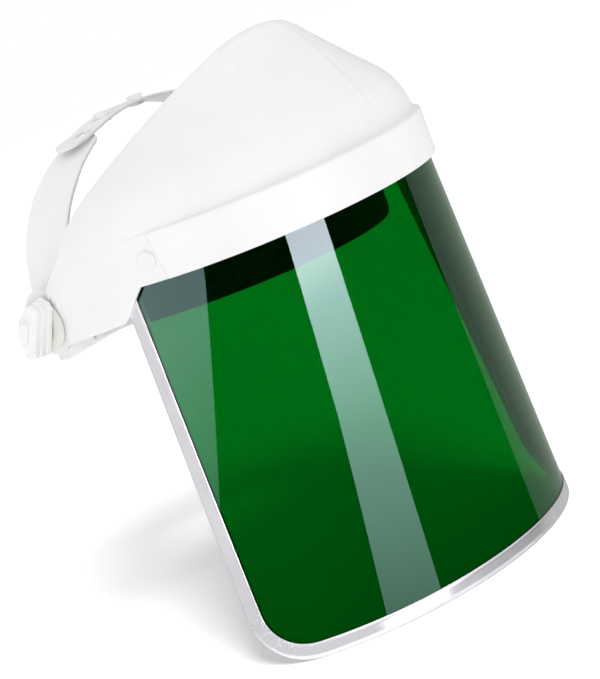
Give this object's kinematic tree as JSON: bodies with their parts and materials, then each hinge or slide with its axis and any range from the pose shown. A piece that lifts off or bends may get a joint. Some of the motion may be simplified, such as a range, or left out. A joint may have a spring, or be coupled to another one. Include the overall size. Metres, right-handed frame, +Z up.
{
  "type": "face shield",
  "caption": "Tilting face shield: white browguard with a curved green visor in a metal edge binding, on a ratchet headgear with tension knobs.",
  "frame": {"origin": "middle of the tilt axis between the two pivot bolts, on the symmetry plane", "axes": "+Z up when worn, the wearer faces -Y, the wearer's right is -X"},
  "size_m": [0.2204, 0.2405, 0.2754],
  "materials": {
    "shell_white": "satin moulded thermoplastic",
    "visor_green": "polished transparent green sheet",
    "binding_metal": "bright rolled strip",
    "headgear_white": "satin moulded thermoplastic",
    "sweatband_cover": "padded sleeve with soft cover",
    "nape_pad_cover": "padded cushion with soft cover",
    "knob_white": "satin moulded thermoplastic",
    "metal_bolt": "zinc plated",
    "metal_brass": "turned",
    "washer_nylon": "natural nylon",
    "ratchet_dark": "fine grained"
  },
  "bodies": {
    "headgear": {"headband": "headgear_white", "sweatband": "sweatband_cover", "crown_strap_right": "headgear_white", "crown_strap_left": "headgear_white", "nape_strap_right": "headgear_white", "nape_strap_left": "headgear_white", "pivot_bolt_right": "metal_bolt", "pivot_bolt_left": "metal_bolt", "spacer_bush_right": "washer_nylon", "spacer_bush_left": "washer_nylon", "friction_washer_right": "washer_nylon", "friction_washer_left": "washer_nylon"},
    "face_guard": {"browguard": "shell_white", "visor": "visor_green", "edge_binding": "binding_metal", "visor_stud_right": "shell_white", "visor_stud_left": "shell_white", "stud_clip_right": "metal_bolt", "stud_clip_left": "metal_bolt"},
    "knob_right": {"tension_knob_right": "knob_white", "knob_insert_right": "metal_brass"},
    "knob_left": {"tension_knob_left": "knob_white", "knob_insert_left": "metal_brass"},
    "nape_unit": {"ratchet_housing": "headgear_white", "ratchet_cover": "headgear_white", "nape_pad": "nape_pad_cover", "cover_screw_right": "metal_bolt", "cover_screw_left": "metal_bolt"},
    "ratchet_drive": {"ratchet_knob": "ratchet_dark", "ratchet_pinion": "ratchet_dark"}
  },
  "joints": [
    {"name": "guard_tilt", "type": "hinge", "parent": "headgear", "child": "face_guard", "pos_m": [0, 0, 0], "axis": [-1, 0, 0], "range_deg": [0, 80]},
    {"name": "knob_right_turn", "type": "hinge", "parent": "headgear", "child": "knob_right", "pos_m": [-0.1, 0, 0], "axis": [-1, 0, 0], "range_deg": [-15, 270]},
    {"name": "knob_left_turn", "type": "hinge", "parent": "headgear", "child": "knob_left", "pos_m": [0.1, 0, 0], "axis": [1, 0, 0], "range_deg": [-15, 270]},
    {"name": "nape_slide", "type": "slide", "parent": "headgear", "child": "nape_unit", "axis": [0, -1, 0], "range_m": [-0.006, 0.012], "deforming": ["nape_strap_right", "nape_strap_left"]},
    {"name": "ratchet_turn", "type": "hinge", "parent": "nape_unit", "child": "ratchet_drive", "pos_m": [0, 0.085, -0.0155], "axis": [0, -1, 0], "range_deg": [-100, 190]}
  ],
  "couplings": [
    {"joint": "ratchet_turn", "follows": "nape_slide", "rad_per_m": 263.16}
  ]
}
